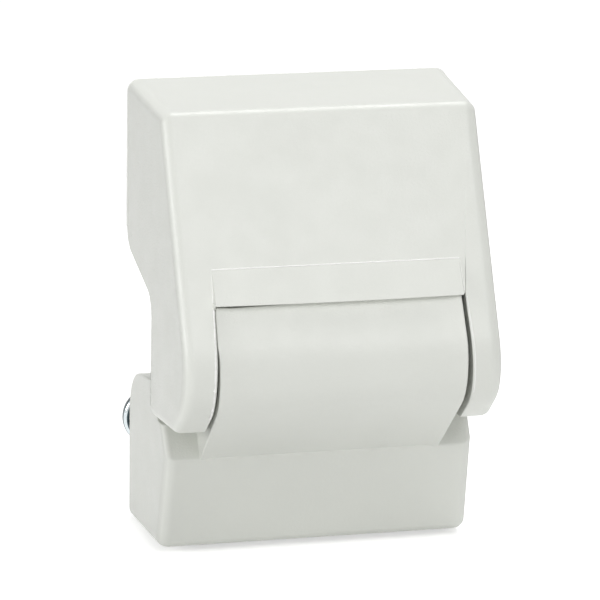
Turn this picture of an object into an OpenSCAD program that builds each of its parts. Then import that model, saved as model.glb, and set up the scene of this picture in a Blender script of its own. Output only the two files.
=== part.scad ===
// Two-leaf enclosure hinge in moulded plastic, shown closed.
// The cover leaf carries two ears, the frame leaf carries a wide knuckle between them,
// and a steel pin joins them. Two pan head screws stand part-driven in the frame leaf.
// Origin: on the frame leaf's back face, midway between its two screws.
// +X runs along the pin, +Y points into the enclosure wall, +Z is up.

/* [Overall] */
// Width across the top front edge of the cover leaf
leaf_w = 60; // [58:0.5:62]
// Radius of the moulded outer edges, apart from the sharp ones of the back faces
edge_r = 2.2; // [1.6:0.1:2.4]
// Draft of the moulded walls, widening towards the back faces
draft = 2.8; // [2.2:0.1:3.2]
// Angle by which the sides spread towards the ends of the leaves
side_spread = 1.1; // [0.6:0.1:1.5]

/* [Knuckle and pin] */
// Radius of the knuckle about the pin axis
knuckle_r = 11.6; // [11.2:0.1:11.8]
// Half the width of the knuckle
knuckle_half_w = 23.35; // [22:0.05:23.6]
// Gap between each end of the knuckle and the ear beside it
ear_gap = 0.5; // [0.4:0.05:0.8]
// Radial space between the knuckle and the hollow that it turns in
hollow_gap = 0.5; // [0.4:0.1:0.7]
// Diameter of the hinge pin
pin_d = 5; // [4:0.5:6]
// Radial running clearance of the pin in the knuckle
pin_clearance = 0.05; // [0.03:0.01:0.1]
// Depth of the blind hole in the left ear
blind_hole = 4.5; // [3:0.5:5]

/* [Cover leaf] */
// Height of the top front edge above the pin axis
cover_h = 44.8; // [43:0.2:46]
// Lean of the front face from vertical
front_lean = 27.3; // [26.8:0.1:27.8]
// Slope of the top face, rising to the back
top_slope = 3.1; // [2:0.1:4]
// Distance of the cover leaf's back face behind the pin axis
cover_back = 39.2; // [38:0.2:40]
// Height of the back face's lower corner above the pin axis
step_h = 14; // [13.4:0.1:14.6]
// Slope of the step's underside
step_slope = 14.9; // [14:0.1:15.4]
// Radius of the two bends of the step
step_r = 5; // [4:0.1:5.5]
// Distance of the ears' back edge behind the pin axis
ear_back = 16.8; // [16.5:0.1:17.2]
// Radius of the ears in front of the pin
ear_r = 11.5; // [11:0.1:11.6]
// Depth of the ears' lowest point below the pin axis
ear_drop = 15.3; // [15:0.1:15.5]
// Height of the thickened lip over the opening
lip_h = 6; // [5:0.1:8]
// How far the lip stands proud of the front face at its lower edge
lip_rise = 1.1; // [0.8:0.05:1.2]
// How far the lip stands proud at its upper edge
lip_step = 0.15; // [0.1:0.05:0.3]

/* [Frame leaf] */
// Width across the front ledge
ledge_w = 59.8; // [58.6:0.2:61]
// Distance of the frame leaf's back face behind the pin axis
frame_back = 41.5; // [41:0.1:42.5]
// Depth of the front edge of the top face below the pin axis
frame_top = 9.1; // [8.8:0.1:10]
// Fall of the top face towards the back
top_fall = 8; // [4:1:10]
// Radius of the top back corner
frame_top_r = 9.5; // [6:0.5:10]
// Distance of the front ledge behind the pin axis
ledge_y = 9.6; // [9.2:0.1:10.2]
// Depth of the front ledge below the pin axis
ledge_drop = 21.9; // [21.5:0.1:22.5]
// Height of the front face under the ledge
front_h = 19.4; // [18:0.1:21]
// How far the bottom front edge sits behind the ledge
front_setback = 6.6; // [5.5:0.1:7.5]

/* [Screws] */
// Distance between the two screws of each leaf
screw_span = 53; // [51:0.5:53]
// Depth of the frame leaf's screws below the pin axis
screw_drop = 23.3; // [23.3:0.1:25.5]
// Height of the cover leaf's screw holes above the pin axis
cover_screw_h = 29; // [26:0.5:32]
// Outer thread diameter
screw_d = 6; // [5.6:0.1:6.2]
// Diameter of the pilot holes
pilot_d = 5.2; // [4.8:0.1:5.4]
// Depth of the pilot holes
pilot_depth = 20; // [19:0.5:22]
// Diameter of the counterbores at the mouths of the frame leaf's pilot holes
counterbore_d = 6; // [6:0.05:6.2]
// Depth of the counterbores
counterbore_depth = 1; // [0.5:0.1:1.5]
// Head diameter
head_d = 11.6; // [10:0.1:12]
// Head height
head_h = 4.4; // [3.9:0.1:4.8]
// Space left under the heads for the enclosure wall
wall_space = 2.5; // [1:0.1:4]
// Shank length under the head
shank_l = 20; // [16:1:21]

/* [Inside] */
// Thickness of the moulded walls
wall_t = 3; // [2.6:0.1:3.4]
// Thickness of the ribs between the hollows of the back faces
rib_t = 2; // [1.6:0.1:2.4]
// Number of hollows across each back face
hollow_count = 6; // [6:2:6]
// Outer diameter of the screw bosses
boss_d = 10.4; // [9.6:0.1:11]

/* [Hidden] */
$fn = 72;
far = 90;
plastic = [0.88, 0.89, 0.86];
steel = [0.78, 0.8, 0.82];
half_w = leaf_w / 2;
opening_half_w = knuckle_half_w + ear_gap;
hollow_r = knuckle_r + hollow_gap;
lean_run = tan(front_lean);
draft_run = tan(draft);
top_run = tan(top_slope);
step_run = tan(step_slope);
// Where the slope behind the ledge meets the troughs under the ears
slope_top = [ledge_y + 4.2, -15.8];
trough_r = 23.1;
// Front edge of the frame leaf's top face, and the centre of its round back corner
top_lip = [sqrt(pow(trough_r, 2) - pow(frame_top, 2)), -frame_top];
top_bend_y = frame_back - frame_top_r;
top_bend_drop = (frame_top_r + (top_bend_y - top_lip[0]) * sin(top_fall)) / cos(top_fall);
top_bend = [top_bend_y, top_lip[1] - top_bend_drop];
// The front face is the plane that touches the knuckle, so it meets the top here
front_top_y = cover_h * lean_run - knuckle_r / cos(front_lean);

// Points of an arc about a centre, from one angle to another
function arc(centre, r, from, to, steps) =
    [for (i = [0:steps]) let (a = from + (to - from) * i / steps) centre + r * [cos(a), sin(a)]];

// Depth of the cover leaf's front face at a height above the pin axis
function front_y(z) = z * lean_run - knuckle_r / cos(front_lean);

// Puts what is drawn about the pin axis in its place in the hinge's frame
module from_pin() {
    translate([0, -frame_back, screw_drop])
        children();
}

// Extrudes a side profile, drawn as [depth, height], across the width
module across(half) {
    rotate([90, 0, 90])
        translate([0, 0, -half])
            linear_extrude(2 * half)
                children();
}

// Space between two drafted side walls, each half from the middle at the point [depth, height]
module between_sides(half, at) {
    intersection_for (side = [0, 1])
        mirror([side, 0, 0])
            translate([half, at[0], at[1]])
                rotate([0, -side_spread, -draft])
                    translate([-3 * far, -far, -2 * far])
                        cube([3 * far, 3 * far, 3 * far]);
}

// Side profile carried across a leaf, with drafted sides and rounded outer edges
module moulded(half, at) {
    minkowski() {
        intersection() {
            across(far)
                offset(delta = -edge_r)
                    children();
            between_sides(half - edge_r, at);
        }
        sphere(edge_r, $fn = 20);
    }
}

// Hollows of a back face, side by side with ribs between them
module hollows() {
    span = leaf_w - 2 * wall_t;
    pitch = (span + rib_t) / hollow_count;
    for (i = [0:hollow_count - 1])
        translate([-span / 2 + (i + 0.5) * pitch - rib_t / 2, 0, 0])
            across((pitch - rib_t) / 2)
                children();
}

// Round bar or hole along +Y, from one depth to another
module along_y(r, from, to) {
    translate([0, from, 0])
        rotate([-90, 0, 0])
            cylinder(r = r, h = to - from);
}

// Repeats a shape at the two screw places of a leaf
module at_screws(z) {
    for (side = [-1, 1])
        translate([side * screw_span / 2, 0, z])
            children();
}

// Side profile of the ears, run on beyond their back edge
module ear_profile() {
    belly_r = 4.9;
    shoulder = hollow_r + lip_h;
    hull() {
        circle(ear_r);
        polygon([[front_y(shoulder), shoulder], [0, shoulder], [0, 0]]);
        translate([2, belly_r + 1.2 - ear_drop])
            circle(belly_r);
        translate([cover_back, -ear_drop - 1.9])
            square([far / 4, far / 4]);
    }
}

// Side profile of the cover leaf as seen from the front, run on beyond its back face
module cover_profile() {
    shoulder = hollow_r + lip_h;
    reach = cover_back + far / 4;
    polygon([
        [front_y(shoulder), shoulder], [front_top_y, cover_h],
        [reach, cover_h + (reach - front_top_y) * top_run], [reach, 0], [0, 0]
    ]);
    ear_profile();
}

// Everything in front of the stepped back face and the back edge of the ears
module cover_front() {
    corner_r = 1.6;
    rise = step_r / cos(step_slope) - step_r * step_run;
    outer_bend = [cover_back - step_r, step_h + rise];
    inner_h = step_h - (cover_back - ear_back) * step_run;
    inner_bend = [ear_back + step_r, inner_h - rise];
    polygon(concat(
        [[-far, -far], [-far, far], [cover_back, far]],
        arc(outer_bend, step_r, 0, step_slope - 90, 8),
        arc(inner_bend, step_r, step_slope + 90, 180, 8),
        arc([ear_back - corner_r, corner_r - ear_drop], corner_r, 0, -90, 6),
        [[ear_back - corner_r, -far]]
    ));
}

module cover_leaf() {
    color(plastic)
        from_pin()
            difference() {
                union() {
                    intersection() {
                        moulded(half_w, [front_top_y, cover_h])
                            cover_profile();
                        across(far)
                            cover_front();
                    }
                    across(knuckle_half_w)
                        lip_profile();
                }
                across(opening_half_w)
                    opening_profile();
                difference() {
                    hollows()
                        cover_hollow();
                    at_screws(cover_screw_h)
                        along_y(boss_d / 2, -far, far);
                }
                at_screws(cover_screw_h)
                    along_y(pilot_d / 2, cover_back - pilot_depth, cover_back + 1);
                pin_holes();
            }
}

// Wedge that thickens the front wall over the opening
module lip_profile() {
    sunk = 1;
    top = hollow_r + lip_h;
    polygon([
        [front_y(hollow_r) - lip_rise, hollow_r], [front_y(top) - lip_step, top],
        [front_y(top) + sunk, top], [front_y(hollow_r) + sunk, hollow_r]
    ]);
}

// Room between the ears for the knuckle, open at the front, at the back and below
module opening_profile() {
    rear_ceiling = 6.5;
    circle(hollow_r);
    polygon([[-far, hollow_r], [0, hollow_r], [0, -far], [-far, -far]]);
    polygon([[-1, rear_ceiling], [ear_back + 2, rear_ceiling], [ear_back + 2, -far], [-1, -far]]);
}

module cover_hollow() {
    top = cover_h - wall_t;
    floor = hollow_r + 5;
    inset = wall_t / cos(front_lean);
    polygon([
        [front_y(floor) + inset, floor],
        [front_y(top) + inset, top],
        [cover_back + 1, top + (cover_back - front_top_y) * top_run],
        [cover_back + 1, floor]
    ]);
}

// Blind hole in the left ear and a through hole in the right one
module pin_holes() {
    press = 0.02;
    translate([-opening_half_w - blind_hole, 0, 0])
        rotate([0, 90, 0])
            cylinder(d = pin_d - 2 * press, h = far);
}

// Side profile of the frame leaf's front and bottom, run on upwards and to the back
module frame_front_profile() {
    lean = front_setback / front_h;
    bottom = -ledge_drop - front_h;
    reach = frame_back + far / 4;
    polygon([
        [ledge_y - 20 * lean, 20 - ledge_drop], [reach, 20 - ledge_drop],
        [reach, bottom - (reach - ledge_y - front_setback) * draft_run],
        [ledge_y + front_setback, bottom]
    ]);
}

// Side profile of the slope behind the ledge, run on to every other side
module frame_slope_profile() {
    run = slope_top - [ledge_y, -ledge_drop];
    low = [ledge_y, -ledge_drop] - 6 * run;
    high = slope_top + 3 * run;
    polygon([low, high, [far, high[1]], [far, low[1]]]);
}

// Everything below the troughs under the ears, the top face and its round back corner
module frame_under() {
    polygon(concat(
        [[-far, -far], [-far, far], slope_top + [0, far], slope_top],
        arc([0, 0], trough_r, asin(slope_top[1] / trough_r), asin(top_lip[1] / trough_r), 8),
        arc(top_bend, frame_top_r, 90 - top_fall, 0, 12),
        [[frame_back, -far]]
    ));
}

// Side profile of the knuckle and of the block that carries it between the troughs
module knuckle_profile() {
    ledge = [ledge_y, -ledge_drop];
    touch = atan2(-ledge_drop, ledge_y) - acos(knuckle_r / norm(ledge));
    circle(knuckle_r);
    polygon([
        [0, 0], knuckle_r * [cos(touch), sin(touch)], ledge, ledge + [6, -4],
        top_lip + [1, -wall_t], top_lip, [knuckle_r, -frame_top], [knuckle_r, 0]
    ]);
}

module frame_leaf() {
    color(plastic)
        from_pin()
            difference() {
                union() {
                    intersection() {
                        moulded(ledge_w / 2, [ledge_y, -ledge_drop])
                            frame_front_profile();
                        moulded(ledge_w / 2, [ledge_y, -ledge_drop])
                            frame_slope_profile();
                        across(far)
                            frame_under();
                    }
                    across(knuckle_half_w)
                        knuckle_profile();
                }
                difference() {
                    hollows()
                        frame_hollow();
                    at_screws(-screw_drop)
                        along_y(boss_d / 2, -far, far);
                }
                at_screws(-screw_drop)
                    frame_screw_hole();
                rotate([0, 90, 0])
                    cylinder(r = pin_d / 2 + pin_clearance, h = 2 * far, center = true);
            }
}

module frame_hollow() {
    floor = -ledge_drop - front_h + wall_t;
    front = ledge_y + wall_t + 1.4;
    polygon(concat(
        arc(top_bend, frame_top_r - wall_t, 90 - top_fall, 0, 6),
        [[frame_back + 1, top_bend[1]], [frame_back + 1, floor]],
        [[front + front_setback * 0.7, floor], [front, -ledge_drop - wall_t]],
        [[19.5, -20], [25.2, -frame_top - wall_t - 0.9]]
    ));
}

// Pilot hole with a counterbore, which keeps the face flat where the screw enters it
module frame_screw_hole() {
    along_y(pilot_d / 2, frame_back - pilot_depth, frame_back + 1);
    along_y(counterbore_d / 2, frame_back - counterbore_depth, frame_back + 1);
}

module hinge_pin() {
    chamfer = 0.5;
    recess = 1.4;
    end_gap = 0.3;
    left = -opening_half_w - blind_hole + end_gap;
    length = half_w - recess - left;
    color(steel)
        from_pin()
            translate([left, 0, 0])
                rotate([0, 90, 0])
                    rotate_extrude()
                        polygon([
                            [0, 0], [pin_d / 2 - chamfer, 0], [pin_d / 2, chamfer],
                            [pin_d / 2, length - chamfer], [pin_d / 2 - chamfer, length], [0, length]
                        ]);
}

// Pan head screw along Y with its head at the back and its bearing face at Y = 0
module pan_head_screw() {
    shank_r = (screw_d + pilot_d) / 4;
    rim_h = 2.2;
    dome_r = (pow(head_d / 2, 2) + pow(head_h - rim_h, 2)) / (2 * (head_h - rim_h));
    recess_w = 1.1;
    recess_l = 6;
    recess_depth = 2.3;
    difference() {
        rotate([-90, 0, 0])
            rotate_extrude() {
                square([head_d / 2, rim_h]);
                intersection() {
                    translate([0, head_h - dome_r])
                        circle(dome_r);
                    translate([0, rim_h - 0.01])
                        square([head_d / 2, head_h]);
                }
                translate([0, -shank_l])
                    square([shank_r, shank_l + 0.01]);
            }
        for (turn = [45, 135])
            translate([0, head_h, 0])
                rotate([0, turn, 0])
                    translate([-recess_l / 2, -recess_depth, -recess_w / 2])
                        cube([recess_l, recess_depth + 1, recess_w]);
    }
}

module frame_screws() {
    color(steel)
        for (side = [-1, 1])
            translate([side * screw_span / 2, wall_space, 0])
                pan_head_screw();
}

cover_leaf();
frame_leaf();
hinge_pin();
frame_screws();
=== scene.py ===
# %% [markdown]
# # A moulded enclosure hinge
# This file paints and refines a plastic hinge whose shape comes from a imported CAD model. The model is
# loaded first and never moved; it gives every piece its place, in metres, with Z up. Each step below
# is a cell with a short note on what the piece is, how it could be made, and why this way was chosen.

import math
import random

import bmesh
import bpy
from mathutils import Matrix, Vector


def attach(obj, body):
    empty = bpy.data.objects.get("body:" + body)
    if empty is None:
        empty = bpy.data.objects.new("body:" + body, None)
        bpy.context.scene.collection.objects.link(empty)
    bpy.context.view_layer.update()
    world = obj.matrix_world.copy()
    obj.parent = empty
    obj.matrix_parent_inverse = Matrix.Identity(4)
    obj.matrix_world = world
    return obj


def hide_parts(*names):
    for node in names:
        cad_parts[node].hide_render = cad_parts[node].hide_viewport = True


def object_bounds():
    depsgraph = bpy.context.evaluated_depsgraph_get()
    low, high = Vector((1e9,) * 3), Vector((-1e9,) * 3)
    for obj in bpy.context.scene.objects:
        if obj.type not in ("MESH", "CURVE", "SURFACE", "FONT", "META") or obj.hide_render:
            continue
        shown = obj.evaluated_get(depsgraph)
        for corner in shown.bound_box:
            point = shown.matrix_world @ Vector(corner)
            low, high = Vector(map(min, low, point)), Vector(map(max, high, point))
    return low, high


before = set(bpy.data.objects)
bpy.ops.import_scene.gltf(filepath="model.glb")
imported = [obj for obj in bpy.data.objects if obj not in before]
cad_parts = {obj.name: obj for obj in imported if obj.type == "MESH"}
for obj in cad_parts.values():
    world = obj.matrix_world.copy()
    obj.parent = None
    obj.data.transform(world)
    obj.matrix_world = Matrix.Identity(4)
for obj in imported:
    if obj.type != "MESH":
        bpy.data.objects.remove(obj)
cad_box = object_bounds()
scene = bpy.context.scene
MM = 0.001
print("CAD box in mm:", [[round(c / MM, 1) for c in corner] for corner in cad_box])

# %% [markdown]
# ## Where the photographer stood
# A long lens from a little above and to the left gives nearly parallel edges. The distance and the
# focal length were found by matching the corners of the two leaves, so the camera is built from an aim
# point, two angles and a distance instead of being placed by eye.

# %% Camera
AIM = Vector((-5.48, -38.98, 33.35)) * MM
AZIMUTH, ELEVATION = math.radians(-12.164), math.radians(13.8)
DISTANCE = 632.39 * MM
back = Vector((
    math.sin(AZIMUTH) * math.cos(ELEVATION),
    -math.cos(AZIMUTH) * math.cos(ELEVATION),
    math.sin(ELEVATION),
))
camera = bpy.data.objects.new("camera", bpy.data.cameras.new("camera"))
scene.collection.objects.link(camera)
scene.camera = camera
camera.data.sensor_width = 36
camera.data.lens = 204
camera.data.clip_start, camera.data.clip_end = 0.05, 20
camera.rotation_mode = "QUATERNION"
camera.location = AIM + back * DISTANCE
camera.rotation_quaternion = (-back).to_track_quat("-Z", "Y")
print("camera at", [round(c, 3) for c in camera.location])

# %% [markdown]
# ## A plain studio
# The hinge stands on a pale floor. The floor is a plain diffuse sheet, so it keeps the soft shadow; a
# little light of its own, seen only by the camera and by reflections, lifts the lit part to white. The
# world is white to the camera and to reflections, and a softer grey where it lights the hinge.

# %% Floor and world
FLOOR_SIZE = 3.0
AMBIENT = 0.17
FLOOR_LIFT = 0.5


def node_tree(owner):
    """An empty node tree on a material or world."""
    owner.use_nodes = True
    tree = owner.node_tree
    tree.nodes.clear()
    return tree


def add(tree, kind, values=None, **settings):
    """Adds a node, sets its properties by name and its input sockets by name."""
    node = tree.nodes.new("ShaderNode" + kind)
    for key, value in settings.items():
        setattr(node, key, value)
    for key, value in (values or {}).items():
        node.inputs[key].default_value = value
    return node


def seen_directly(tree):
    """1 for rays from the camera, from mirrors and through glass; 0 for light."""
    path = add(tree, "LightPath")
    open_or_mirrored = add(tree, "Math", operation="MAXIMUM")
    seen = add(tree, "Math", operation="MAXIMUM")
    tree.links.new(path.outputs["Is Camera Ray"], open_or_mirrored.inputs[0])
    tree.links.new(path.outputs["Is Glossy Ray"], open_or_mirrored.inputs[1])
    tree.links.new(open_or_mirrored.outputs[0], seen.inputs[0])
    tree.links.new(path.outputs["Is Transmission Ray"], seen.inputs[1])
    return seen.outputs[0]


world = bpy.data.worlds.new("studio")
scene.world = world
tree = node_tree(world)
level = add(tree, "MapRange", {"To Min": AMBIENT, "To Max": 1.0})
sky = add(tree, "Background", {"Color": (1, 1, 1, 1)})
out = add(tree, "OutputWorld")
tree.links.new(seen_directly(tree), level.inputs["Value"])
tree.links.new(level.outputs["Result"], sky.inputs["Strength"])
tree.links.new(sky.outputs["Background"], out.inputs["Surface"])

floor_z = cad_box[0][2]
mesh = bpy.data.meshes.new("floor")
half = FLOOR_SIZE / 2
mesh.from_pydata(
    [(-half, -half, floor_z), (half, -half, floor_z), (half, half, floor_z), (-half, half, floor_z)],
    [], [(0, 1, 2, 3)],
)
floor = bpy.data.objects.new("floor", mesh)
scene.collection.objects.link(floor)

sheet = bpy.data.materials.new("floor_sheet")
tree = node_tree(sheet)
paper = add(tree, "BsdfDiffuse", {"Color": (0.93, 0.93, 0.93, 1)})
lift = add(tree, "Emission", {"Color": (1, 1, 1, 1)})
lift_level = add(tree, "MapRange", {"To Min": 0.0, "To Max": FLOOR_LIFT})
both = add(tree, "AddShader")
out = add(tree, "OutputMaterial")
tree.links.new(seen_directly(tree), lift_level.inputs["Value"])
tree.links.new(lift_level.outputs["Result"], lift.inputs["Strength"])
tree.links.new(paper.outputs[0], both.inputs[0])
tree.links.new(lift.outputs[0], both.inputs[1])
tree.links.new(both.outputs[0], out.inputs["Surface"])
mesh.materials.append(sheet)
print("floor at", round(floor_z / MM, 2), "mm")

# %% [markdown]
# ## Soft lamps
# Four square soft boxes: one above, which draws the bright line on the top front edge, one at the left,
# which draws the line down the left front edge, and two in front, high and low, which fill the front.
# Large lamps close to the hinge keep the shadows soft, as in a product photograph. Each has its place
# and its width in metres and its power in watts, found by matching the photograph.

# %% Lamps
LAMPS = {
    "top_box": ((0.2, 0.3, 1.0), 0.5, 5.1),
    "left_box": ((-0.95, -0.08, 0.28), 0.32, 3.4),
    "front_box": ((0.1, -0.75, 0.8), 0.6, 3.3),
    "low_box": ((0.1, -0.98, 0.4), 0.6, 1.9),
}
for name, (corner, size, power) in LAMPS.items():
    lamp = bpy.data.lights.new(name, "AREA")
    lamp.shape, lamp.size, lamp.energy = "SQUARE", size, power
    thing = bpy.data.objects.new(name, lamp)
    thing.location = corner
    thing.rotation_mode = "QUATERNION"
    thing.rotation_quaternion = (AIM - Vector(corner)).to_track_quat("-Z", "Y")
    scene.collection.objects.link(thing)
scene.view_settings.view_transform = "Standard"
print("lamps:", ", ".join(LAMPS))

# %% [markdown]
# ## Light grey moulded plastic
# The leaves are one opaque warm grey all through. What keeps such plastic from looking flat is small:
# a faint cloudiness where the melt cooled, a fine spark-eroded grain from the mould, and a gloss that
# varies a little. All three come from noise on the object's own coordinates, so they sit still on the
# piece when it turns. The side faces are also tinted a little darker and have a coarser grain. That tint
# is no property of the plastic: it stands in for light in the photograph that the lamps do not match.

# %% Plastic
PLASTIC = (0.775, 0.79, 0.74)
# Painted highlight: the flash bars are real, and this whiter colour paints the bright line light draws along
# them.
HIGHLIGHT_WHITE = (0.97, 0.97, 0.95)
# Painted shade: faces that point sideways have their colour scaled down to this share.
SIDE_PAINTED_SHADE = 0.86
SIDEWAYS_FROM, SIDEWAYS_TO = 0.7, 0.95
GRAIN_FRONT, GRAIN_SIDE = 0.3, 0.8


def mix_colors(tree, factor, dark, light):
    """Two colours mixed by a socket that gives 0 to 1."""
    mix = add(tree, "Mix", data_type="RGBA")
    mix.inputs[6].default_value = (*dark, 1)
    mix.inputs[7].default_value = (*light, 1)
    tree.links.new(factor, mix.inputs[0])
    return mix.outputs[2]


def noise(tree, place, scale, detail=2.0, stretch=(1, 1, 1)):
    """Noise with a scale in features per metre."""
    mapping = add(tree, "Mapping", {"Scale": stretch})
    cloud = add(tree, "TexNoise", {"Scale": scale, "Detail": detail})
    tree.links.new(place, mapping.inputs["Vector"])
    tree.links.new(mapping.outputs[0], cloud.inputs["Vector"])
    return cloud.outputs["Fac"]


def ramp(tree, socket, start, end, low, high):
    """Turns a socket's range from start to end into low to high."""
    node = add(tree, "MapRange", {"From Min": start, "From Max": end, "To Min": low, "To Max": high})
    tree.links.new(socket, node.inputs["Value"])
    return node.outputs["Result"]


def moulded_plastic(name, color):
    """Cloudy satin plastic with a fine grain; a painted shade darkens the faces that point sideways."""
    material = bpy.data.materials.new(name)
    tree = node_tree(material)
    place = add(tree, "TexCoord").outputs["Object"]
    shader = add(tree, "BsdfPrincipled", {"Specular IOR Level": 0.5, "IOR": 1.6})
    out = add(tree, "OutputMaterial")
    cloud = noise(tree, place, 60, 3)
    dark = [c * 0.965 for c in color]
    light = [min(c * 1.025, 1) for c in color]
    gloss = ramp(tree, noise(tree, place, 240, 2), 0.3, 0.7, 0.37, 0.49)
    tree.links.new(gloss, shader.inputs["Roughness"])
    facing = add(tree, "SeparateXYZ")
    tree.links.new(add(tree, "TexCoord").outputs["Normal"], facing.inputs[0])
    sideways = add(tree, "Math", operation="ABSOLUTE")
    tree.links.new(facing.outputs["X"], sideways.inputs[0])
    coarse = ramp(tree, sideways.outputs[0], SIDEWAYS_FROM, SIDEWAYS_TO, GRAIN_FRONT, GRAIN_SIDE)
    grain = add(tree, "Bump", {"Distance": 0.00016})
    tree.links.new(coarse, grain.inputs["Strength"])
    # Painted shade: the colour darkens as the face turns sideways, standing in for light the lamps do not
    # give.
    shade = ramp(tree, sideways.outputs[0], SIDEWAYS_FROM, SIDEWAYS_TO, 1.0, SIDE_PAINTED_SHADE)
    tinted = add(tree, "VectorMath", operation="SCALE")
    tree.links.new(mix_colors(tree, cloud, dark, light), tinted.inputs[0])
    tree.links.new(shade, tinted.inputs["Scale"])
    tree.links.new(tinted.outputs["Vector"], shader.inputs["Base Color"])
    tree.links.new(noise(tree, place, 2300, 2), grain.inputs["Height"])
    waves = add(tree, "Bump", {"Strength": 0.25, "Distance": 0.0003})
    tree.links.new(noise(tree, place, 120, 1), waves.inputs["Height"])
    tree.links.new(grain.outputs["Normal"], waves.inputs["Normal"])
    tree.links.new(waves.outputs["Normal"], shader.inputs["Normal"])
    tree.links.new(shader.outputs[0], out.inputs["Surface"])
    return material


plastic = moulded_plastic("light_grey_plastic_look", PLASTIC)
# The second look is a painted highlight for the flash hairlines.
flash_highlight = moulded_plastic("flash_painted_highlight_look", HIGHLIGHT_WHITE)
print("plastic looks:", plastic.name, "and", flash_highlight.name)

# %% [markdown]
# ## Zinc plated steel
# Plating follows the metal below: bright, with fine turning marks and a faint blue cast from its
# passivation. A metallic shader with a noise that is squeezed along the screw's axis is enough. The dark
# look is for the rims and undersides of the heads: plating mirrors its surroundings there as nearly
# black in the photograph, and the pale studio has nothing dark to mirror.

# %% Steel
BRIGHT_TINTS, BRIGHT_GLOSS = ((0.52, 0.58, 0.61), (0.68, 0.72, 0.73)), (0.07, 0.15)
# Painted reflection: dark tints for the heads' rims and undersides, standing in for dark surroundings
# mirrored in the plating.
DARK_TINTS, DARK_GLOSS = ((0.03, 0.045, 0.05), (0.08, 0.11, 0.12)), (0.2, 0.35)


def plated_steel(name, tints, roughness):
    """Metal between two tints and two roughnesses, with fine turning marks."""
    material = bpy.data.materials.new(name)
    tree = node_tree(material)
    place = add(tree, "TexCoord").outputs["Object"]
    shader = add(tree, "BsdfPrincipled", {"Metallic": 1.0})
    out = add(tree, "OutputMaterial")
    cloud = noise(tree, place, 500, 3)
    tree.links.new(mix_colors(tree, cloud, *tints), shader.inputs["Base Color"])
    tree.links.new(ramp(tree, cloud, 0.3, 0.7, *roughness), shader.inputs["Roughness"])
    marks = add(tree, "Bump", {"Strength": 0.15, "Distance": 0.00003})
    tree.links.new(noise(tree, place, 3000, 2, (1, 4, 1)), marks.inputs["Height"])
    tree.links.new(marks.outputs["Normal"], shader.inputs["Normal"])
    tree.links.new(shader.outputs[0], out.inputs["Surface"])
    return material


steel = plated_steel("plated_steel_look", BRIGHT_TINTS, BRIGHT_GLOSS)
# A painted dark reflection for the screws' rims and undersides.
rim_reflection = plated_steel("rim_painted_reflection_look", DARK_TINTS, DARK_GLOSS)
print("steel looks:", steel.name, "and", rim_reflection.name)

# %% [markdown]
# ## Side profiles
# Both leaves are mouldings whose shape is mostly a side view carried across the width. So the side view
# comes first: a list of corners in millimetres from the pin, each with the radius that rounds it. The
# helper turns that into points and, beside each point, the direction that leads into the plastic.

# %% Profiles with rounded corners
PIN = Vector((0, -41.5, 23.3))
TURN = math.radians(4)


def rounded(corners):
    """Points and inward normals of a closed outline given as (y, z, radius), counter-clockwise."""
    outline = []
    count = len(corners)
    for i, (y, z, radius) in enumerate(corners):
        here = Vector((y, z))
        before = (here - Vector(corners[i - 1][:2])).normalized()
        after = (Vector(corners[(i + 1) % count][:2]) - here).normalized()
        into_before, into_after = Vector((-before.y, before.x)), Vector((-after.y, after.x))
        bend = math.atan2(before.x * after.y - before.y * after.x, before.dot(after))
        if radius == 0:
            outline.append((here, (into_before + into_after) / (1 + before.dot(after))))
            continue
        side = 1 if bend > 0 else -1
        start = here - before * (radius * abs(math.tan(bend / 2)))
        centre = start + into_before * (side * radius)
        steps = max(1, math.ceil(abs(bend) / TURN))
        for k in range(steps + 1):
            a = bend * k / steps
            into = Vector((
                into_before.x * math.cos(a) - into_before.y * math.sin(a),
                into_before.x * math.sin(a) + into_before.y * math.cos(a),
            ))
            outline.append((centre - into * (side * radius), into))
    return outline


def arc(centre, radius, start, end, steps):
    """Corner entries along an arc, from one angle in degrees to another."""
    found = []
    for k in range(steps + 1):
        a = math.radians(start + (end - start) * k / steps)
        found.append((centre[0] + radius * math.cos(a), centre[1] + radius * math.sin(a), 0))
    return found


# %% [markdown]
# ## Carrying a profile across
# One function makes every body: it lays the profile down in rings, from one side to the other. Near
# the sides the rings shrink along the inward normals in a quarter circle, which rounds the edge, and
# the half width may depend on the place in the profile, which gives the moulded draft.

# %% Bodies from profiles
EDGE_STEPS = 8
SOLVER, LOOKS = "MANIFOLD", 2
WELD = 1e-4


def prism(outline, edge, half_width, spans=1):
    """A closed mesh in millimetres from a rounded outline; half_width(y, z) is the sides' distance."""
    shape = bmesh.new()
    rings = []
    angles = [90 * k / EDGE_STEPS for k in range(EDGE_STEPS + 1)] if edge else [90]
    stations = [(-1, angle) for angle in reversed(angles)]
    stations += [(2 * k / spans - 1, 90) for k in range(1, spans)]
    stations += [(1, angle) for angle in angles]
    for side, angle in stations:
        a = math.radians(angle)
        ring = []
        for point, into in outline:
            y, z = point + into * (edge * (1 - math.cos(a)))
            x = side * (half_width(y, z) - edge * (1 - math.sin(a)))
            ring.append(shape.verts.new((x, y, z)))
        rings.append(ring)
    count = len(outline)
    for low, high in zip(rings, rings[1:]):
        for i in range(count):
            j = (i + 1) % count
            shape.faces.new((low[i], low[j], high[j], high[i]))
    shape.faces.new(rings[0][::-1])
    shape.faces.new(rings[-1])
    bmesh.ops.remove_doubles(shape, verts=shape.verts, dist=WELD)
    bmesh.ops.recalc_face_normals(shape, faces=shape.faces)
    return shape


def thing_of(shape, name):
    """An object with the finished mesh."""
    mesh = bpy.data.meshes.new(name)
    shape.to_mesh(mesh)
    shape.free()
    thing = bpy.data.objects.new(name, mesh)
    scene.collection.objects.link(thing)
    return thing


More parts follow.
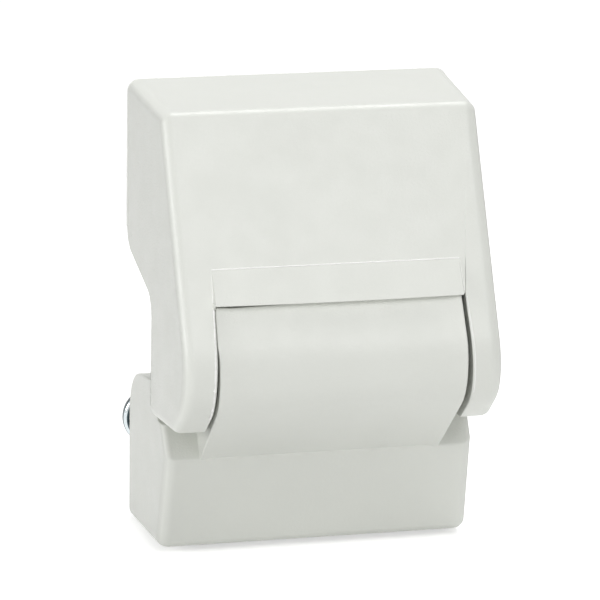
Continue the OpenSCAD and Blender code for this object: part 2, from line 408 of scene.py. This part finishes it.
def combine(thing, tool, operation, look=0):
    """Joins, cuts or keeps the overlap of two closed solids; the tool's faces get the look's number."""
    for mesh in (thing.data, tool.data):
        while len(mesh.materials) < LOOKS:
            mesh.materials.append(None)
    tool.data.polygons.foreach_set("material_index", [look] * len(tool.data.polygons))
    step = thing.modifiers.new(operation, "BOOLEAN")
    step.operation, step.solver, step.object = operation, SOLVER, tool
    bpy.context.view_layer.update()
    made = thing.evaluated_get(bpy.context.evaluated_depsgraph_get())
    mesh = bpy.data.meshes.new_from_object(made)
    thing.modifiers.clear()
    thing.data = mesh
    bpy.data.objects.remove(tool)


def soften(thing, width, angle, segments=3, where=lambda edge: True):
    """Rounds the convex edges sharper than an angle, after welding corners that nearly meet.

    Without the weld a tiny edge can throw a rounded corner far away. The flash is left out of it, because
    welding its slivers would open the mesh.
    """
    shape = bmesh.new()
    shape.from_mesh(thing.data)
    plain = [v for v in shape.verts if not any(f.material_index for f in v.link_faces)]
    bmesh.ops.remove_doubles(shape, verts=plain, dist=WELD)
    limit = math.radians(angle)
    picked = [
        e for e in shape.edges
        if e.is_manifold and e.is_convex and e.calc_face_angle() > limit and where(e)
    ]
    bmesh.ops.bevel(
        shape, geom=picked, offset=width, offset_type="OFFSET", segments=segments,
        profile=0.5, affect="EDGES", clamp_overlap=False,
    )
    shape.to_mesh(thing.data)
    shape.free()
    return len(picked)


def cylinder(radius, low, high, axis="Y", at=(0, 0, 0), steps=64):
    """A closed round bar along X or Y, in millimetres."""
    turn = {"Y": Matrix.Rotation(math.radians(-90), 4, "X"), "X": Matrix.Rotation(math.radians(90), 4, "Y")}
    middle = (low + high) / 2
    along = Vector((middle, 0, 0)) if axis == "X" else Vector((0, middle, 0))
    shape = bmesh.new()
    bmesh.ops.create_cone(
        shape, cap_ends=True, segments=steps, radius1=radius, radius2=radius, depth=high - low,
        matrix=Matrix.Translation(Vector(at) + along) @ turn[axis],
    )
    return shape


# %% [markdown]
# ## The cover leaf
# The outside is one pillow: the front, the ears and the top are rounded at the sides by EDGE_R. The
# mould's parting line runs round the stepped back, so there the pillow is cut off by a second profile
# and the cut edge gets only a hairline rounding, which shows as a thin bright line.

# %% Cover leaf: outside
KNUCKLE_R, KNUCKLE_HALF = 11.6, 23.35
LEAN = math.radians(27.3)
COVER_H = 44.8
DRAFT, SPREAD = math.tan(math.radians(3)), math.tan(math.radians(0.9))
FLARE, FLARE_TOP = 0.022, 16.8
TOP_RISE = math.tan(math.radians(3.1))
EDGE_R = 2.3
LIP_Z, LIP_H, CEILING_R = 12.1, 6.0, 13.95
EAR_BACK, COVER_BACK, STEP_Z = 16.8, 39.2, 14.0


def front_y(z):
    """The front plane, which touches the knuckle."""
    return z * math.tan(LEAN) - KNUCKLE_R / math.cos(LEAN)


COVER_HALF, COVER_AT = 30.04, (front_y(COVER_H), COVER_H)


def cover_half(y, z):
    """The drafted sides, and the ears' flare: they have less draft towards their lower front."""
    below = max(FLARE_TOP - z, 0)
    flare = FLARE * below * min(below / 8, 1) * max(EAR_BACK - y, 0) / 27
    return COVER_HALF + (y - COVER_AT[0]) * DRAFT - (z - COVER_AT[1]) * SPREAD + flare


ear = arc((0, 0), 11.6, 152.7, 235.1, 24)
belly = arc((0, -10.5), 3.0, 235.1, 265.6, 8)
REACH, BELLY_END = 60, -17.2
cover_outline = rounded(
    [(*COVER_AT, EDGE_R)] + ear + belly
    + [(COVER_BACK, BELLY_END, 0), (REACH, BELLY_END, 0)]
    + [(REACH, COVER_H + (REACH - COVER_AT[0]) * TOP_RISE, 0)]
)
cover = thing_of(prism(cover_outline, EDGE_R, cover_half), "cover_leaf_shell")
print("cover outline:", len(cover_outline), "points")

# %% [markdown]
# The cutting profile follows the parting line: up the ears' back edge, round the two bends of the step
# and up the back face. Only what lies in front of it stays.

# %% Cover leaf: parting line and lip
STEP = math.tan(math.radians(14.9))
FAR = 60
CORNER_R = 1.6
CORNER_Z = CORNER_R - 15.3
PARTING_R = 0.35


def flat_sides(half):
    """Sides that stay at one distance."""
    return lambda y, z: half


parting = rounded(
    [(-FAR, -FAR, 0), (EAR_BACK - CORNER_R, -FAR, 0)]
    + arc((EAR_BACK - CORNER_R, CORNER_Z), CORNER_R, -90, 0, 8)
    + [(EAR_BACK, STEP_Z - (COVER_BACK - EAR_BACK) * STEP, 5), (COVER_BACK, STEP_Z, 5)]
    + [(COVER_BACK, 80, 0), (-FAR, 80, 0)]
)
combine(cover, thing_of(prism(parting, 0, flat_sides(45)), "parting"), "INTERSECT")
print("parting edges rounded:", soften(cover, PARTING_R, 35))


def hull_of(points):
    """The convex solid round some points, in millimetres."""
    shape = bmesh.new()
    for point in points:
        shape.verts.new(point)
    bmesh.ops.convex_hull(shape, input=shape.verts)
    bmesh.ops.recalc_face_normals(shape, faces=shape.faces)
    return shape


LIP_RISE, LIP_STEP = 1.1, 0.15
LIP_SPARE, LIP_FOOT, WITNESS, RIM_INSET = 0.5, 0.35, 0.08, 0.05
lip_low, lip_high = LIP_Z - LIP_SPARE, LIP_Z + LIP_H
slope = (LIP_RISE - LIP_STEP) / LIP_H
lip = []
for side in (-1, 1):
    ends = ((lip_low, LIP_RISE + LIP_SPARE * slope, LIP_FOOT), (lip_high - WITNESS, LIP_STEP, 0.0))
    for z, rise, foot in ends:
        lip.append((side * (KNUCKLE_HALF - RIM_INSET), front_y(z) - rise, z))
        lip.append((side * (KNUCKLE_HALF + foot), front_y(z), z))
        lip.append((side * (KNUCKLE_HALF + foot), front_y(z) + 1, z))
combine(cover, thing_of(hull_of(lip), "lip"), "UNION")

# %% [markdown]
# The opening for the knuckle is not quite even: its sides have draft, it sits a little to the right, and
# the lip's lower edge sags in the middle. Moving the vertices of the cutting shape is enough for that.

# %% Cover leaf: opening
OPENING_SHIFT, LIP_SAG, LIP_TILT = 0.2, 0.15, 0.04
OPENING_HALF, MIDWAY, CLOSE_UP, CLOSE_DOWN = 24.1, 3.4, 0.06, 0.03
CEILING_Z = 6.5


def opening_half(y, z):
    """Half the opening's width: tight under the lip, wider towards the ears' ends."""
    return OPENING_HALF - CLOSE_UP * max(z - MIDWAY, 0) + CLOSE_DOWN * max(MIDWAY - z, 0)


ceiling_start = math.degrees(math.asin(CEILING_Z / CEILING_R))
ceiling_end = 180 - math.degrees(math.asin(LIP_Z / CEILING_R))
opening = prism(rounded(
    [(-FAR, -FAR, 0), (EAR_BACK + 2, -FAR, 0), (EAR_BACK + 2, CEILING_Z, 0)]
    + arc((0, 0), CEILING_R, ceiling_start, ceiling_end, 30)
    + [(-FAR, LIP_Z, 0)]
), 0, opening_half, 24)
for vert in opening.verts:
    vert.co.x += OPENING_SHIFT
    if vert.co.y < -6.5 and vert.co.z > 5:
        across = vert.co.x / KNUCKLE_HALF
        vert.co.z -= LIP_SAG * max(1 - across * across, 0) + LIP_TILT * (1 + across)
combine(cover, thing_of(opening, "opening"), "DIFFERENCE")


def at_opening(edge):
    """Edges that run round the opening."""
    return (max(v.co.z for v in edge.verts) < LIP_Z + 0.01
            and max(abs(v.co.x) for v in edge.verts) < opening_half(0, -20) + OPENING_SHIFT + 0.01)


print("opening edges rounded:", soften(cover, 0.22, 60, where=at_opening))

# %% [markdown]
# Where two parts of a mould meet they leave a hairline of flash on the plastic. It is modelled as a thin
# rounded bar along a path, half sunk in the surface; its whiter look is a painted highlight along the
# hairline. A fixed seed makes the ragged places the same at every run. Five paths get one: the cover's
# back rim, the left ear's back corner, the foot of the lip, and the rims of both ears at the opening.

# %% Cover leaf: hairlines of flash
luck = random.Random(5)
TAG_GROWTH = 2.2
FOREMOST = -KNUCKLE_R - 0.02


def ridge(path, thickness, ragged, up, tags=0.0):
    """A thin closed bar along a path; ragged varies its thickness, tags is the share of thick bits."""
    shape = bmesh.new()
    rings = []
    last = len(path) - 1
    for k, point in enumerate(path):
        ahead = (path[min(k + 1, last)] - path[max(k - 1, 0)]).normalized()
        side = ahead.cross(up).normalized()
        rise = side.cross(ahead)
        r = thickness * (1 + ragged * luck.uniform(-1, 1))
        r *= TAG_GROWTH if luck.random() < tags else 1
        turns = [2 * math.pi * t / 8 for t in range(8)]
        rings.append([shape.verts.new(point + (side * math.cos(a) + rise * math.sin(a)) * r) for a in turns])
    for low, high in zip(rings, rings[1:]):
        for i in range(8):
            j = (i + 1) % 8
            shape.faces.new((low[i], low[j], high[j], high[i]))
    shape.faces.new(rings[0][::-1])
    shape.faces.new(rings[-1])
    bmesh.ops.recalc_face_normals(shape, faces=shape.faces)
    for vert in shape.verts:
        vert.co.y = max(vert.co.y, FOREMOST)
    return shape


def on_front(x, z):
    """A point on the front plane."""
    return Vector((x, front_y(z), z))


def ear_rim(side, start, end, inset, steps):
    """Points down the rim of the opening, on the front plane and then round the ear."""
    path = []
    for k in range(steps + 1):
        along = start + (end - start) * k / steps
        if along > 0:
            foot = Vector((-math.cos(LEAN), math.sin(LEAN))) * KNUCKLE_R
            y, z = foot + Vector((math.sin(LEAN), math.cos(LEAN))) * along
        else:
            a = math.pi - LEAN - along / KNUCKLE_R
            y, z = KNUCKLE_R * math.cos(a), KNUCKLE_R * math.sin(a)
        path.append(Vector((side * (opening_half(y, z) + inset) + OPENING_SHIFT, y, z)))
    return path


outward = Vector((0, -math.cos(LEAN), math.sin(LEAN)))
sideways = Vector((1, 0, 0))
foot_half = KNUCKLE_HALF + 0.33
round_lip = [
    on_front(-foot_half, LIP_Z + 0.5), on_front(-KNUCKLE_HALF, lip_high),
    on_front(KNUCKLE_HALF, lip_high), on_front(foot_half, LIP_Z + 0.5),
]
RIM_TOP, RIM_DROP, RIM_TURN = -9, 3.2, 80
back_rim = []
for k in range(31):
    turn = math.radians(max(0, RIM_TURN * (k - 10) / 20))
    z = RIM_TOP - RIM_DROP * min(k / 10, 1) - EDGE_R * math.sin(turn)
    y = EAR_BACK if z > CORNER_Z else EAR_BACK - CORNER_R + math.sqrt(CORNER_R ** 2 - (z - CORNER_Z) ** 2)
    back_rim.append(Vector((-cover_half(y, z) + EDGE_R * (1 - math.cos(turn)) + 0.1, y - 0.1, z)))
BRIM_INSET, BRIM_HEIGHTS = 0.45, (17.5, 25, 33, 41)
brim_y = COVER_BACK - BRIM_INSET
brim_z = COVER_H + (brim_y - COVER_AT[0]) * TOP_RISE
brim_half = cover_half(brim_y, brim_z)
brim = [Vector((-cover_half(brim_y, z), brim_y, z)) for z in BRIM_HEIGHTS]
for k in range(9):
    turn = math.radians(90 * k / 8)
    drop, inward = EDGE_R * (1 - math.sin(turn)), EDGE_R * (1 - math.cos(turn))
    brim.append(Vector((-brim_half + inward, brim_y, brim_z - drop - 0.1 * (k / 8))))
brim += [Vector((-v.x, v.y, v.z)) for v in reversed(brim)]
# Each bar has a thickness, how ragged it is, the direction off the surface and the share of thick bits.
flash = [
    ridge(brim, 0.18, 0.1, Vector((0, 1, 0))),
    ridge(back_rim, 0.2, 0.7, Vector((0, 1, 0))),
    ridge(round_lip, 0.15, 0, outward),
    ridge(ear_rim(-1, 7, -16, 0.2, 60), 0.13, 0.5, sideways, 0.1),
    ridge(ear_rim(1, 7, -12, 0.22, 30), 0.09, 0.15, sideways),
]
# The bars' faces take look 1, the painted highlight.
for shape in flash:
    combine(cover, thing_of(shape, "flash"), "UNION", 1)
print("hairlines:", len(flash))

# %% [markdown]
# ## Ribbed backs
# Seen from behind, both leaves are cored out: six hollows side by side with thin ribs between them and
# a boss round each screw hole. What repeats is made with Geometry Nodes: a line of points, one hollow
# on each, made real so that it can cut the leaf.

# %% A row of copies with Geometry Nodes


def geometry_tree(name, inputs):
    """A Geometry Nodes tree with the named inputs and one geometry output."""
    tree = bpy.data.node_groups.new(name, "GeometryNodeTree")
    for label, kind in inputs:
        tree.interface.new_socket(label, in_out="INPUT", socket_type=kind)
    tree.interface.new_socket("Geometry", in_out="OUTPUT", socket_type="NodeSocketGeometry")
    return tree, tree.nodes.new("NodeGroupInput"), tree.nodes.new("NodeGroupOutput")


def row_tree():
    """Sets a piece on every point of a line and makes the copies real."""
    tree, given, result = geometry_tree("row_of_copies", [
        ("Piece", "NodeSocketObject"), ("Count", "NodeSocketInt"),
        ("Start", "NodeSocketVector"), ("Step", "NodeSocketVector"),
        ("Finish", "NodeSocketMaterial"),
    ])
    line = tree.nodes.new("GeometryNodeMeshLine")
    piece = tree.nodes.new("GeometryNodeObjectInfo")
    copies = tree.nodes.new("GeometryNodeInstanceOnPoints")
    real = tree.nodes.new("GeometryNodeRealizeInstances")
    finish = tree.nodes.new("GeometryNodeSetMaterial")
    link = tree.links.new
    link(given.outputs["Count"], line.inputs["Count"])
    link(given.outputs["Start"], line.inputs["Start Location"])
    link(given.outputs["Step"], line.inputs["Offset"])
    link(given.outputs["Piece"], piece.inputs["Object"])
    link(line.outputs["Mesh"], copies.inputs["Points"])
    link(piece.outputs["Geometry"], copies.inputs["Instance"])
    link(copies.outputs["Instances"], real.inputs["Geometry"])
    link(real.outputs["Geometry"], finish.inputs["Geometry"])
    link(given.outputs["Finish"], finish.inputs["Material"])
    link(finish.outputs["Geometry"], result.inputs["Geometry"])
    return tree


ROW = row_tree()


def row_of(piece, name, count, start, step, look):
    """A plain mesh object with count copies of a piece; the piece itself is thrown away."""
    mesh = bpy.data.meshes.new(name)
    thing = bpy.data.objects.new(name, mesh)
    scene.collection.objects.link(thing)
    made = thing.modifiers.new("row", "NODES")
    made.node_group = ROW
    sockets = {item.name: item.identifier for item in ROW.interface.items_tree}
    values = {"Piece": piece, "Count": count, "Start": start, "Step": step, "Finish": look}
    for label, value in values.items():
        made[sockets[label]] = value
    bpy.context.view_layer.update()
    evaluated = thing.evaluated_get(bpy.context.evaluated_depsgraph_get())
    thing.data = bpy.data.meshes.new_from_object(evaluated)
    thing.modifiers.clear()
    bpy.data.objects.remove(piece)
    return thing


# %% [markdown]
# One function cores out either leaf. Every cut comes before the rims of the hollows are rounded, because
# a cut through a freshly rounded rim can tear the mesh. The pin's bore is a little tight in the ears, so
# that the pin turns with the cover, and a little loose in the knuckle.

# %% Hollows and bosses
WALL, RIB, HOLLOWS = 3.0, 2.0, 6
SCREW_X, BOSS_R, PILOT_R, PILOT_DEPTH = 26.5, 5.2, 2.6, 20.0
PITCH = (60 - 2 * WALL + RIB) / HOLLOWS
COVER_SCREW_Z, MOUTH_R, MOUTH_DEPTH = 29.0, 3.0, 1
TIGHT_R, LOOSE_R, BLIND_END = 2.48, 2.55, -28.35


def core_out(leaf, outline, screw_z, back, mouth_r, bore):
    """Cuts the row of hollows, leaves the bosses, and drills the screw holes and the pin's bore."""
    piece = thing_of(prism(rounded(outline), 0, flat_sides((PITCH - RIB) / 2)), "hollow")
    hollows = row_of(piece, "hollows", HOLLOWS, ((0.5 - HOLLOWS / 2) * PITCH, 0, 0), (PITCH, 0, 0), plastic)
    for x in (-SCREW_X, SCREW_X):
        boss = thing_of(cylinder(BOSS_R, -20, 60, at=(x, 0, screw_z)), "boss")
        combine(hollows, boss, "DIFFERENCE")
    combine(leaf, hollows, "DIFFERENCE")
    for x in (-SCREW_X, SCREW_X):
        hole = thing_of(cylinder(PILOT_R, back - PILOT_DEPTH, back + 2, at=(x, 0, screw_z)), "hole")
        combine(leaf, hole, "DIFFERENCE")
        if mouth_r:
            mouth = thing_of(cylinder(mouth_r, back - MOUTH_DEPTH, back + 2, at=(x, 0, screw_z)), "mouth")
            combine(leaf, mouth, "DIFFERENCE")
    combine(leaf, thing_of(bore, "bore"), "DIFFERENCE")
    return soften(leaf, 0.25, 60, 2, lambda e: min(v.co.y for v in e.verts) > back - 0.05
                  and max(abs(v.co.x) for v in e.verts) < 31)


hollow_top, hollow_floor, inset = COVER_H - WALL, LIP_Z + 5, WALL / math.cos(LEAN)
cover_hollow = [
    (front_y(hollow_floor) + inset, hollow_floor, 0.8), (COVER_BACK + 1, hollow_floor, 0),
    (COVER_BACK + 1, hollow_top + (COVER_BACK - COVER_AT[0]) * TOP_RISE, 0),
    (front_y(hollow_top) + inset, hollow_top, 0.8),
]
blind_bore = cylinder(TIGHT_R, BLIND_END, 40, axis="X")
print("cover rims rounded:", core_out(cover, cover_hollow, COVER_SCREW_Z, COVER_BACK, 0, blind_bore))

# %% [markdown]
# ## The frame leaf
# The block below the pin has a crisp ledge but soft sides. So it is the overlap of two pillows, one with
# the front face and one with the slope behind the ledge; they meet in a crisp line. A third profile cuts
# the troughs in which the ears turn, the sloping top and the back. The knuckle is then joined on. Near
# the lip its left end reaches out until it nearly meets the ear, as in the photograph.

# %% Frame leaf
LEDGE, SLOPE_TOP, TROUGH_R = (9.6, -21.9), (13.8, -15.8), 23.1
BOTTOM, FRAME_BACK, TOP_R, TOP_FALL = -41.2, 41.5, 9.5, 8.0
FRAME_HALF, WIDER, SLOPE_EDGE = 29.9, 0.02, 1.3
FOOT_Y = LEDGE[0] + 6.6
SETBACK = (FOOT_Y - LEDGE[0]) / (LEDGE[1] - BOTTOM)
lip_angle = math.degrees(math.asin(-9.1 / TROUGH_R))
floor_angle = math.degrees(math.asin(SLOPE_TOP[1] / TROUGH_R))
top_lip = (TROUGH_R * math.cos(math.radians(lip_angle)), -9.1)
bend_y = FRAME_BACK - TOP_R
fall = math.radians(TOP_FALL)
bend_z = -9.1 - (TOP_R + (bend_y - top_lip[0]) * math.sin(fall)) / math.cos(fall)


def frame_half(y, z):
    """The drafted sides."""
    return FRAME_HALF + (y - LEDGE[0]) * DRAFT - (z - LEDGE[1]) * SPREAD


def wider_half(y, z):
    """A hair wider, so that the flat sides come from one body only."""
    return frame_half(y, z) + WIDER


front_outline = rounded([
    (LEDGE[0] - 20 * SETBACK, LEDGE[1] + 20, 0), (FOOT_Y, BOTTOM, EDGE_R),
    (FAR, BOTTOM - (FAR - FOOT_Y) * DRAFT, 0), (FAR, LEDGE[1] + 20, 0),
])
run = (SLOPE_TOP[0] - LEDGE[0], SLOPE_TOP[1] - LEDGE[1])
slope_low = (LEDGE[0] - 6 * run[0], LEDGE[1] - 6 * run[1])
slope_high = (SLOPE_TOP[0] + 3 * run[0], SLOPE_TOP[1] + 3 * run[1])
slope_outline = rounded([(*slope_low, 0), (90, slope_low[1], 0), (90, slope_high[1], 0), (*slope_high, 0)])
under = rounded(
    [(-FAR, -FAR, 0), (FRAME_BACK, -FAR, 0)]
    + arc((bend_y, bend_z), TOP_R, 0, 90 - TOP_FALL, 24)
    + arc((0, 0), TROUGH_R, lip_angle, floor_angle, 10)
    + [(*SLOPE_TOP, 0), (SLOPE_TOP[0], FAR, 0), (-FAR, FAR, 0)]
)
block = thing_of(prism(front_outline, EDGE_R, frame_half), "frame_leaf_shell")
combine(block, thing_of(prism(slope_outline, SLOPE_EDGE, wider_half), "slope"), "INTERSECT")
combine(block, thing_of(prism(under, 0, flat_sides(45)), "under"), "INTERSECT")
print("frame edges rounded:", soften(block, 0.3, 30))

NOSE_R, NOSE_UP = 0.35, 7.3
END_DRAFT, END_HEIGHT = 0.25, 8.1
touch = math.degrees(math.atan2(LEDGE[1], LEDGE[0]) - math.acos(KNUCKLE_R / math.hypot(*LEDGE))) + 360
lean_normal, lean_up = Vector((-math.cos(LEAN), math.sin(LEAN))), Vector((math.sin(LEAN), math.cos(LEAN)))
nose = lean_normal * (KNUCKLE_R - NOSE_R) + lean_up * NOSE_UP
front_angle = 180 - math.degrees(LEAN)
back_angle = 2 * math.degrees(math.atan2(nose.y, nose.x)) - front_angle


def knuckle_half(y, z):
    """The knuckle's ends have a little draft towards the lip."""
    return KNUCKLE_HALF - END_DRAFT * min(max((z - MIDWAY) / END_HEIGHT, 0), 1)


knuckle_outline = rounded(
    arc((0, 0), KNUCKLE_R, 0, back_angle, 24)
    + arc(nose, NOSE_R, back_angle, front_angle, 14)
    + arc((0, 0), KNUCKLE_R, front_angle, touch, 30)
    + [(*LEDGE, 0), (LEDGE[0] + 6, LEDGE[1] - 4, 0), (top_lip[0] + 1, top_lip[1] - WALL, 0)]
    + [(*top_lip, 0), (KNUCKLE_R, top_lip[1], 0)]
)
CLEARANCE, KNUCKLE_EDGE, WIDENING = 0.06, 0.3, 0.1
NOSE_Z, NOSE_SAG = 10.8, 0.25
knuckle = prism(knuckle_outline, KNUCKLE_EDGE, knuckle_half, 16)
for vert in knuckle.verts:
    x, y, z = vert.co
    if x < 0 and z > MIDWAY:
        close = min(KNUCKLE_HALF + WIDENING * (z - MIDWAY), opening_half(y, z) - OPENING_SHIFT - CLEARANCE)
        vert.co.x -= max(close - knuckle_half(y, z), 0) * min(-x / 20, 1)
    if z > NOSE_Z and y < 0:
        vert.co.z -= NOSE_SAG * min(max((-9 - x) / 10, 0), 1)
combine(block, thing_of(knuckle, "knuckle"), "UNION")
front = LEDGE[0] + WALL + 1.4
SCREW_Z = -22.9
frame_hollow = (
    [(front + 4.6, BOTTOM + WALL, 0.8), (FRAME_BACK + 1, BOTTOM + WALL, 0), (FRAME_BACK + 1, bend_z, 0)]
    + arc((bend_y, bend_z), TOP_R - WALL, 0, 90 - TOP_FALL, 12)
    + [(25.2, -9.1 - WALL - 0.9, 0.8), (19.5, -20, 0.8), (front, LEDGE[1] - WALL, 0.8)]
)
through_bore = cylinder(LOOSE_R, -40, 40, axis="X")
print("frame rims rounded:", core_out(block, frame_hollow, SCREW_Z, FRAME_BACK, MOUTH_R, through_bore))

# %% [markdown]
# A finished shape goes from millimetres at the pin to metres in the frame, with its transform in the
# mesh. It rides on its CAD body and takes the place of its CAD node.

# %% Placing the leaves
SHARP = math.radians(32)


def hand_in(thing, body, node, looks):
    """Brings a finished shape from millimetres at the pin to metres in the frame, gives it its looks and
    smooth shading, sets it on its body and hides its CAD node.
    """
    mesh = thing.data
    mesh.transform(Matrix.Translation(PIN * MM) @ Matrix.Scale(MM, 4))
    slots = [min(face.material_index, len(looks) - 1) for face in mesh.polygons]
    mesh.materials.clear()
    for look in looks:
        mesh.materials.append(look)
    mesh.polygons.foreach_set("material_index", slots)
    mesh.shade_smooth()
    mesh.set_sharp_from_angle(angle=SHARP)
    normals = thing.modifiers.new("normals", "WEIGHTED_NORMAL")
    normals.keep_sharp = True
    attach(thing, body)
    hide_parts(node)
    print(thing.name, len(mesh.polygons), "faces")


# The cover's second look paints the highlight on its flash.
hand_in(cover, "cover", "cover_leaf", [plastic, flash_highlight])
hand_in(block, "frame", "frame_leaf", [plastic])

# %% [markdown]
# ## Steel parts
# The pin and the screws are turned bodies: a list of rings, each with its place on the axis and its
# radius. A thread is the same list with a radius that depends on the angle too, so the crest climbs
# once round the shank for every turn.

# %% Turned bodies


def turned(rings, axis, steps=64):
    """A closed body from rings (place, radius); the radius may be a function of the angle."""
    shape = bmesh.new()
    made = []
    for place_on_axis, radius in rings:
        ring = []
        for i in range(steps):
            a = 2 * math.pi * i / steps
            r = radius(a) if callable(radius) else radius
            u, v = r * math.cos(a), r * math.sin(a)
            ring.append(shape.verts.new((u, place_on_axis, v) if axis == "Y" else (place_on_axis, u, v)))
        made.append(ring)
    for low, high in zip(made, made[1:]):
        for i in range(steps):
            j = (i + 1) % steps
            shape.faces.new((low[i], low[j], high[j], high[i]))
    shape.faces.new(made[0][::-1])
    shape.faces.new(made[-1])
    bmesh.ops.recalc_face_normals(shape, faces=shape.faces)
    return shape


# %% [markdown]
# The pin has a quarter circle of rings at each end, which rounds it so that it slips into the bores.

# %% Hinge pin
PIN_R, PIN_LOW, PIN_HIGH, CHAMFER = 2.5, -28.05, 28.6, 0.5
pin_rings = [(PIN_LOW, PIN_R - CHAMFER)]
for start, way in ((PIN_LOW, 1), (PIN_HIGH, -1)):
    bend = [
        (start + way * CHAMFER * (1 - math.cos(a)), PIN_R - CHAMFER * (1 - math.sin(a)))
        for a in (math.radians(15 * k) for k in range(1, 7))
    ]
    pin_rings += bend if way > 0 else bend[::-1]
pin_rings.append((PIN_HIGH, PIN_R - CHAMFER))
pin = thing_of(turned(pin_rings, "X"), "hinge_pin_turned")

# %% [markdown]
# The screw is one list of rings too: thread, neck, rounded underside, rim and dome. Two crossed
# wedges cut the recess, each given by its depth, half length and half width at the top and at the tip.
# A row of two makes the pair.

# %% Screws
HEAD_R, HEAD_H, RIM_H, GAP = 5.8, 4.4, 2.2, 2.5
CORE_R, CREST_R, LEAD, SHANK = 2.45, 2.78, 1.8, 20.0
RING_STEP, RINGS, POINT_LENGTH, POINT_R, POINT_GAIN = 0.15, 134, 2.5, 0.45, 0.55
NECK_R, UNDER_R, STRAIGHT, DOME_R = 2.7, 1.0, 0.6, 3.6
RECESS = ((-1, 3.1, 0.62), (2.3, 1.5, 0.45))
RIM_BAND, RIM_START, UNDER_FROM, HAIR = 0.15, 0.5, 2.6, 0.08
seat = FRAME_BACK + GAP


def thread(place_on_axis, fade):
    """The radius round the shank at one place: a sharp crest once in every lead."""
    def radius(angle):
        """The radius at one angle."""
        phase = (place_on_axis / LEAD + angle / (2 * math.pi)) % 1
        crest = max(0, 1 - abs(phase - 0.5) * 3.2)
        return (CORE_R + (CREST_R - CORE_R) * crest) * fade
    return radius


screw_rings = []
for k in range(RINGS):
    place_on_axis = seat - SHANK + RING_STEP * k
    fade = min(1, POINT_R + POINT_GAIN * (RING_STEP * k) / POINT_LENGTH)
    screw_rings.append((place_on_axis, thread(place_on_axis, fade)))
screw_rings.append((seat, NECK_R))
for turn in (0, 22, 45, 68, 90):
    a = math.radians(turn)
    screw_rings.append((seat + UNDER_R * (1 - math.cos(a)), HEAD_R - UNDER_R * (1 - math.sin(a))))
dome_h = HEAD_H - RIM_H
screw_rings.append((seat + RIM_H - STRAIGHT, HEAD_R))
for k in range(1, 11):
    a = math.radians(9 * k)
    place_on_axis = seat + RIM_H - STRAIGHT + (dome_h + STRAIGHT) * math.sin(a)
    screw_rings.append((place_on_axis, DOME_R * 0.6 + (HEAD_R - DOME_R * 0.6) * math.cos(a)))
screw = turned(screw_rings, "Y")
bmesh.ops.translate(screw, verts=screw.verts, vec=(0, 0, SCREW_Z))
screw = thing_of(screw, "screw")
for turn in (45, 135):
    across, top_of_head = math.radians(turn), seat + HEAD_H
    slot = []
    for depth, length, width in RECESS:
        for u, v in ((length, width), (-length, width), (length, -width), (-length, -width)):
            x = u * math.cos(across) - v * math.sin(across)
            z = u * math.sin(across) + v * math.cos(across)
            slot.append((x, top_of_head - depth, SCREW_Z + z))
    combine(screw, thing_of(hull_of(slot), "slot"), "DIFFERENCE")
print("slot edges rounded:", soften(screw, 0.1, 50, 2, lambda e: min(v.co.y for v in e.verts) > seat + 2.5))
screws = row_of(screw, "frame_screws_turned", 2, (-SCREW_X, 0, 0), (2 * SCREW_X, 0, 0), steel)
# Painted reflection: faces on the heads' rims and flat undersides take the dark look.
rims = 0
for face in screws.data.polygons:
    y, z = face.center.y, face.center.z - SCREW_Z
    across = min(math.hypot(face.center.x - x, z) for x in (-SCREW_X, SCREW_X))
    on_rim = across > HEAD_R - RIM_BAND and seat + RIM_START < y < seat + RIM_H
    on_underside = across > UNDER_FROM and abs(y - seat) < HAIR
    face.material_index = int(on_rim or on_underside)
    rims += face.material_index
print("faces with the dark look:", rims)
hand_in(pin, "cover", "hinge_pin", [steel])
hand_in(screws, "frame", "frame_screws", [steel, rim_reflection])
